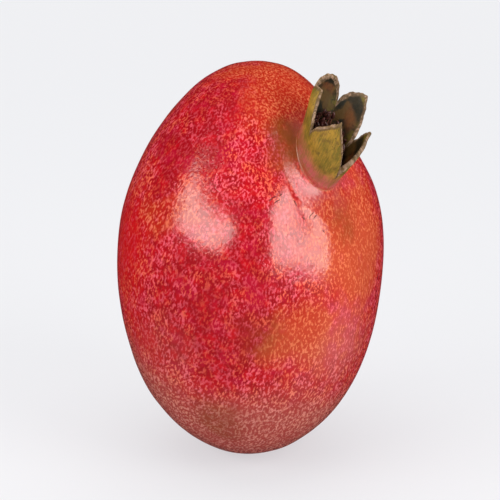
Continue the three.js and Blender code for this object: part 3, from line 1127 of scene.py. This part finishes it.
class PomegranateForm(PropertyGroup):
    """Sizes of the fruit's small forms."""

    skin_lumps: length("Skin lumps", "How far the soft lumps of the skin rise or sink", 0.35, 1)
    sepal_wrinkles: length("Sepal wrinkles", "How far the sepals' wrinkles stand out", 0.22, 0.6)
    rim_raggedness: length("Rim raggedness", "How uneven the sepals' edges are", 0.55, 1.5)
    stamen_count: IntProperty(
        name="Stamens", description="Number of dried stamens in the crown", min=10, max=160, default=72,
    )
    filament_width: length("Filament width", "Thickness of a stamen's thread", 0.42, 1)
    anther_length: length("Anther length", "Length of the bean at a stamen's tip", 2.3, 3)
    bark_ridges: length("Bark ridges", "How far the stem's bark stands out", 0.22, 0.6)


class PomegranateLook(PropertyGroup):
    """Colours of the fruit and the floor, and the size of the skin's net."""

    net_size: length("Net size", "How far apart the skin's pale threads are", 1.3, 10)
    crimson: colour("Crimson", "The skin's deepest spots", 164, 0, 18)
    red: colour("Red", "The skin's lighter spots", 198, 2, 22)
    magenta: colour("Magenta", "The skin's coldest spots", 184, 2, 44)
    # Plain stretches of the skin, and the painted light on its left flank
    bright_red_and_painted_light: colour("Bright red", "The plainest stretches of the skin", 210, 2, 8)
    coral: colour("Coral", "The net's warmer threads", 248, 100, 76)
    orange_red: colour("Orange red", "The skin where it drifts to orange", 190, 38, 16)
    orange: colour("Orange", "The net where the skin is orange", 236, 118, 76)
    salmon: colour("Salmon", "The net where the skin is crimson", 244, 92, 110)
    # Dull red and dull pink: the skin's own duller colour low down, partly a painted reflection of the floor
    dull_red_and_floor_reflection: colour("Dull red", "The skin near the floor", 172, 76, 68)
    dull_pink_and_floor_reflection: colour("Dull pink", "The net near the floor", 218, 144, 126)
    # Olive streaks of the skin, and the painted shade beside the crown
    olive_and_painted_shade: colour("Olive brown", "Shaded patches of the skin", 136, 66, 24)
    halo_pink: colour("Halo pink", "The skin just below the crown", 186, 82, 80)
    collar_line: colour("Collar line", "The thin pale line at the waist", 214, 150, 112)
    sepal_olive: colour("Sepal olive", "The greener streaks outside a sepal", 116, 98, 14)
    sepal_mustard: colour("Sepal mustard", "The yellower streaks outside a sepal", 172, 130, 34)
    sepal_base: colour("Sepal base", "The outside of the crown near the waist", 150, 88, 44)
    sepal_brown: colour("Sepal specks", "Brown specks outside a sepal", 92, 58, 24)
    lining_brown: colour("Lining brown", "The inside of a sepal", 92, 66, 26)
    # Dark mottles inside a sepal, and the painted shade band under its tip
    lining_dark_and_shade: colour("Lining dark", "Dark mottles inside a sepal", 34, 32, 18)
    lining_orange: colour("Lining orange", "The middle of a sepal's inside", 124, 66, 24)
    # Painted shade deep inside the crown
    painted_cup_shade: colour("Cup dark", "The deep inside of the crown", 40, 20, 16)
    rim_pale: colour("Rim pale", "The pale line of a sepal's rim", 172, 138, 112)
    tip_brown: colour("Tip brown", "The dried outer line of a sepal's rim", 98, 72, 44)
    scar: colour("Scar", "Scratches in the skin", 70, 26, 20)
    filament: colour("Filament", "The stamens' threads", 128, 78, 62)
    anther: colour("Anther", "The beans at the stamens' tips", 84, 42, 38)
    cushion: colour("Cushion", "The dry cushion and the style", 70, 40, 28)
    stem_ring: colour("Stem ring", "The rough brown skin round the stem", 158, 92, 58)
    bark: colour("Bark", "The stem's bark", 108, 58, 36)
    bark_light: colour("Light bark", "The stem's lighter bark", 168, 112, 76)
    cut_wood: colour("Cut wood", "The wood of the stem's cut end", 206, 172, 130)
    floor: colour("Floor", "The floor", 232, 233, 237)


class PomegranateLight(PropertyGroup):
    """How bright the studio is."""

    window_glow: FloatProperty(
        name="Window glow", description="Brightness of the two windows seen in the skin",
        min=0, max=50, default=3.6,
    )
    fill_glow: FloatProperty(
        name="Fill glow", description="Brightness of the large soft lights", min=0, max=20, default=1.2,
    )
    room_glow: FloatProperty(
        name="Room glow", description="Brightness of the room around", min=0, max=2, default=0.46,
    )


def add_floor(look):
    mesh = bpy.data.meshes.new("floor")
    work = bmesh.new()
    bmesh.ops.create_circle(work, cap_ends=True, segments=FLOOR_SEGMENTS, radius=FLOOR_RADIUS)
    work.to_mesh(mesh)
    work.free()
    mesh.materials.append(floor_material(look))
    floor = bpy.data.objects.new("floor", mesh)
    floor.visible_glossy = False
    bpy.context.collection.objects.link(floor)


FRUIT_MIDDLE = Vector((0, 0, HEIGHT / 2)) * MM
TOWARDS_VIEWER = Vector((0, -math.cos(VIEW_UP), math.sin(VIEW_UP)))
VIEW_RIGHT = Vector((1, 0, 0))
VIEW_TOP = Vector((0, math.sin(VIEW_UP), math.cos(VIEW_UP)))

# Lights that show in the skin: how far right, up and towards the viewer, and size in metres
WINDOWS = (
    {"name": "window_left", "at": (-0.733, 0.28, 0.615), "size": (0.52, 0.26)},
    {"name": "window_right", "at": (0.68, 0.17, 0.71), "size": (0.36, 0.58)},
)
# Large soft lights that don't show in it: place and size in metres, and share of the brightness
FILLS = (
    {"name": "fill_top", "at": (-0.1, 0.2, 1.1), "size": (1.4, 1.4), "share": 0.95},
    {"name": "fill_back", "at": (0.2, 1.2, 0.5), "size": (1.2, 0.8), "share": 0.9},
)


def add_area_light(name, spot, size, glow, shows_in_skin):
    light = bpy.data.lights.new(name, "AREA")
    light.shape = "RECTANGLE"
    light.size, light.size_y = size
    light.energy = glow * math.pi * size[0] * size[1]
    light.color = LIGHT_TONE
    lamp = bpy.data.objects.new(name, light)
    lamp.location = spot
    lamp.rotation_euler = (FRUIT_MIDDLE - spot).to_track_quat("-Z", "Y").to_euler()
    lamp.visible_glossy = shows_in_skin
    bpy.context.collection.objects.link(lamp)


def add_lights(light):
    for window in WINDOWS:
        right, up, near = window["at"]
        way = VIEW_RIGHT * right + VIEW_TOP * up + TOWARDS_VIEWER * near
        spot = FRUIT_MIDDLE + way * LIGHT_DISTANCE
        add_area_light(window["name"], spot, window["size"], light.window_glow, True)
    for fill in FILLS:
        glow = light.fill_glow * fill["share"]
        add_area_light(fill["name"], Vector(fill["at"]), fill["size"], glow, False)


def add_room(scene, light):
    """A pale room to look at, which lights the fruit softly and shows only faintly in its gloss."""
    world = bpy.data.worlds.new("room")
    world.use_nodes = True
    tree = world.node_tree
    back = tree.nodes["Background"]
    back.inputs["Color"].default_value = (*ROOM_TONE, 1)
    path = tree.nodes.new("ShaderNodeLightPath")
    glossy = tree.nodes.new("ShaderNodeMapRange")
    glossy.inputs["To Min"].default_value = light.room_glow
    glossy.inputs["To Max"].default_value = ROOM_IN_SKIN
    tree.links.new(path.outputs["Is Glossy Ray"], glossy.inputs["Value"])
    strength = tree.nodes.new("ShaderNodeMapRange")
    strength.inputs["To Max"].default_value = ROOM_TO_LOOK_AT
    tree.links.new(path.outputs["Is Camera Ray"], strength.inputs["Value"])
    tree.links.new(glossy.outputs[0], strength.inputs["To Min"])
    tree.links.new(strength.outputs[0], back.inputs["Strength"])
    scene.world = world


def add_camera(scene):
    data = bpy.data.cameras.new("camera")
    data.lens = LENS
    data.clip_end = CAMERA_REACH
    seen_height = HEIGHT * math.cos(VIEW_UP) * MM + VIEW_MARGIN
    distance = seen_height / FRAME_FILL * LENS / data.sensor_width
    camera = bpy.data.objects.new("camera", data)
    aim = FRUIT_MIDDLE + Vector((SKEW * RADIUS, 0, 1)) * MM
    camera.location = aim + TOWARDS_VIEWER * distance
    camera.rotation_euler = (-TOWARDS_VIEWER).to_track_quat("-Z", "Y").to_euler()
    bpy.context.collection.objects.link(camera)
    scene.camera = camera
    scene.view_settings.view_transform = "Standard"


def check_fit(piece, node, spare):
    """Raises an error if a piece reaches further beyond its solid than a share of its size."""
    low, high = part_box(node)
    corners = [piece.matrix_world @ Vector(corner) for corner in piece.bound_box]
    for axis in range(3):
        allowed = spare * (high[axis] - low[axis])
        reach = [corner[axis] for corner in corners]
        if min(reach) < low[axis] - allowed or max(reach) > high[axis] + allowed:
            raise RuntimeError(f"{piece.name} reaches beyond {node} along axis {axis}")


class POMEGRANATE_OT_stage(Operator):
    """Add the floor, the lights, the room and the camera"""

    bl_idname = "pomegranate.stage"
    bl_label = "Add stage"

    def execute(self, context):
        scene = context.scene
        add_floor(scene.pomegranate_look)
        add_lights(scene.pomegranate_light)
        add_room(scene, scene.pomegranate_light)
        add_camera(scene)
        return {"FINISHED"}


class POMEGRANATE_OT_rind(Operator):
    """Add the rind with its neck and its crown of sepals"""

    bl_idname = "pomegranate.rind"
    bl_label = "Add rind and crown"

    def execute(self, context):
        rind = make_rind(context.scene.pomegranate_form, context.scene.pomegranate_look)
        check_fit(rind, "fruit", SPARE)
        add_scars(rind, context.scene.pomegranate_look)
        return {"FINISHED"}


class POMEGRANATE_OT_stamens(Operator):
    """Add the dried stamens, their cushion and the style"""

    bl_idname = "pomegranate.stamens"
    bl_label = "Add stamens"

    def execute(self, context):
        make_stamens(context.scene.pomegranate_form, context.scene.pomegranate_look)
        return {"FINISHED"}


class POMEGRANATE_OT_stem(Operator):
    """Add the woody end of the stem"""

    bl_idname = "pomegranate.stem"
    bl_label = "Add stem end"

    def execute(self, context):
        make_stem(context.scene.pomegranate_form, context.scene.pomegranate_look)
        return {"FINISHED"}


OPERATORS = (POMEGRANATE_OT_stage, POMEGRANATE_OT_rind, POMEGRANATE_OT_stamens, POMEGRANATE_OT_stem)
GROUPS = (
    (PomegranateForm, "pomegranate_form"),
    (PomegranateLook, "pomegranate_look"),
    (PomegranateLight, "pomegranate_light"),
)


class POMEGRANATE_PT_build(Panel):
    """The sidebar panel with the steps and the settings"""

    bl_label = "Pomegranate"
    bl_idname = "POMEGRANATE_PT_build"
    bl_space_type = "VIEW_3D"
    bl_region_type = "UI"
    bl_category = "Pomegranate"

    def draw(self, context):
        for operator in OPERATORS:
            self.layout.operator(operator.bl_idname)
        for group, name in GROUPS:
            settings = getattr(context.scene, name)
            box = self.layout.box()
            for setting in group.__annotations__:
                box.prop(settings, setting)


def register():
    for group, name in GROUPS:
        bpy.utils.register_class(group)
        setattr(bpy.types.Scene, name, PointerProperty(type=group))
    for cls in (*OPERATORS, POMEGRANATE_PT_build):
        bpy.utils.register_class(cls)


def unregister():
    for cls in (*OPERATORS, POMEGRANATE_PT_build):
        bpy.utils.unregister_class(cls)
    for group, name in GROUPS:
        delattr(bpy.types.Scene, name)
        bpy.utils.unregister_class(group)


def main():
    register()
    bpy.ops.pomegranate.stage()
    bpy.ops.pomegranate.rind()
    bpy.ops.pomegranate.stamens()
    bpy.ops.pomegranate.stem()
    bpy.context.view_layer.update()


if __name__ == "__main__":
    main()
